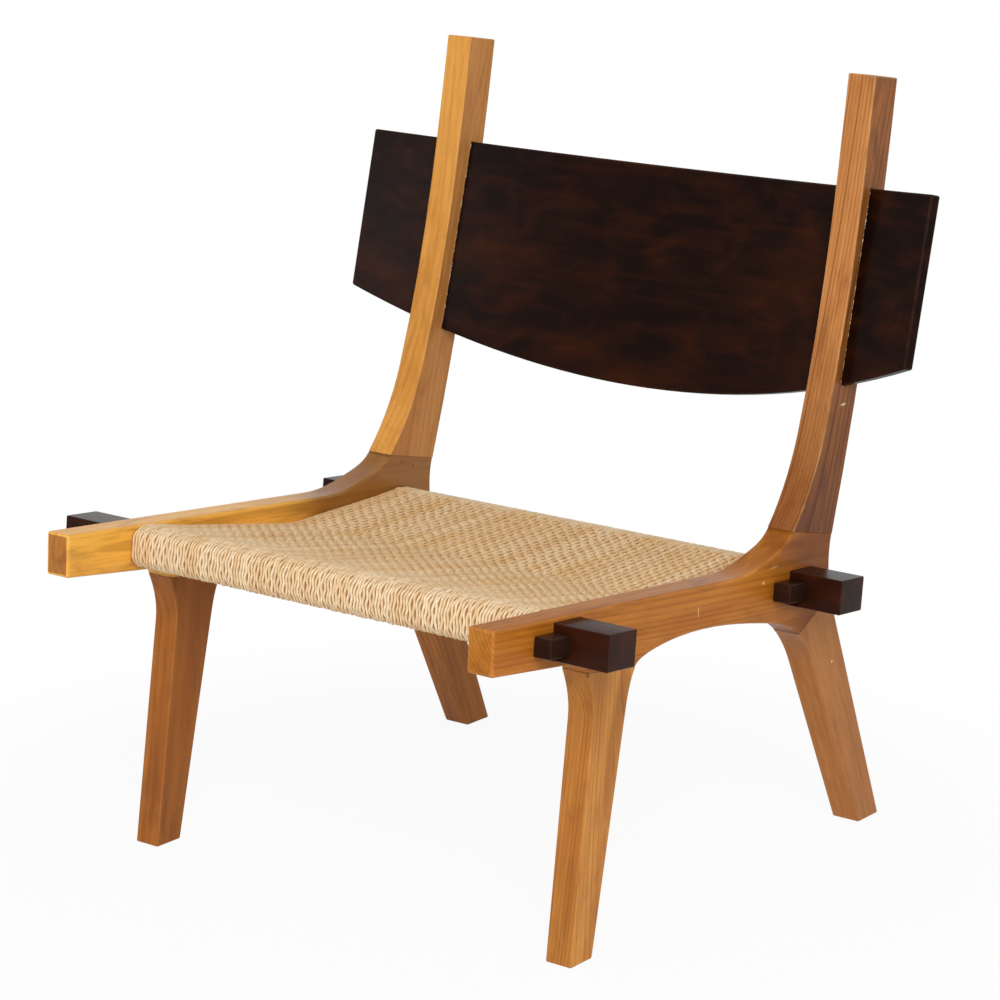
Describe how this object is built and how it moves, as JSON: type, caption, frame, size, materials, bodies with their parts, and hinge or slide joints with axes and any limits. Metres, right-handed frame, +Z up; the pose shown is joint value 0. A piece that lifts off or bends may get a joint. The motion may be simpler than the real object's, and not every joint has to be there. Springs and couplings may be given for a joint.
{
  "type": "lounge chair",
  "caption": "Low knock-down lounge chair: teak side frames, dark keyed stretchers, bent dark backrest board through the posts, woven cord seat.",
  "frame": {"origin": "on the floor, under the middle of the chair's outer box", "axes": "+Z up, -Y the way the sitter faces, +X the sitter's left"},
  "size_m": [0.8106, 0.7957, 0.9069],
  "materials": {
    "teak": "oiled teak, satin",
    "dark_wood": "stained nearly black, glossy",
    "dowel_wood": "bare",
    "cord": "twisted paper cord, woven"
  },
  "bodies": {
    "chair": {"left_seat_rail": "teak", "right_seat_rail": "teak", "left_front_leg": "teak", "right_front_leg": "teak", "left_rear_leg": "teak", "right_rear_leg": "teak", "left_back_post": "teak", "right_back_post": "teak", "left_front_leg_dowel_1": "dowel_wood", "left_front_leg_dowel_2": "dowel_wood", "right_front_leg_dowel_1": "dowel_wood", "right_front_leg_dowel_2": "dowel_wood", "left_rear_leg_dowel_1": "dowel_wood", "left_rear_leg_dowel_2": "dowel_wood", "right_rear_leg_dowel_1": "dowel_wood", "right_rear_leg_dowel_2": "dowel_wood", "left_post_dowel_1": "dowel_wood", "left_post_dowel_2": "dowel_wood", "right_post_dowel_1": "dowel_wood", "right_post_dowel_2": "dowel_wood", "front_stretcher": "dark_wood", "rear_stretcher": "dark_wood", "backrest_board": "dark_wood", "woven_seat": "cord"},
    "left_front_key": {"left_front_key": "dark_wood"},
    "right_front_key": {"right_front_key": "dark_wood"},
    "left_rear_key": {"left_rear_key": "dark_wood"},
    "right_rear_key": {"right_rear_key": "dark_wood"}
  },
  "joints": [
    {"name": "left_front_key_slide", "type": "slide", "parent": "chair", "child": "left_front_key", "axis": [0, -0.9962, 0.0877], "range_m": [0, 0.056]},
    {"name": "right_front_key_slide", "type": "slide", "parent": "chair", "child": "right_front_key", "axis": [0, -0.9962, 0.0877], "range_m": [0, 0.056]},
    {"name": "left_rear_key_slide", "type": "slide", "parent": "chair", "child": "left_rear_key", "axis": [0, -0.9962, 0.0877], "range_m": [0, 0.056]},
    {"name": "right_rear_key_slide", "type": "slide", "parent": "chair", "child": "right_rear_key", "axis": [0, -0.9962, 0.0877], "range_m": [0, 0.056]}
  ]
}
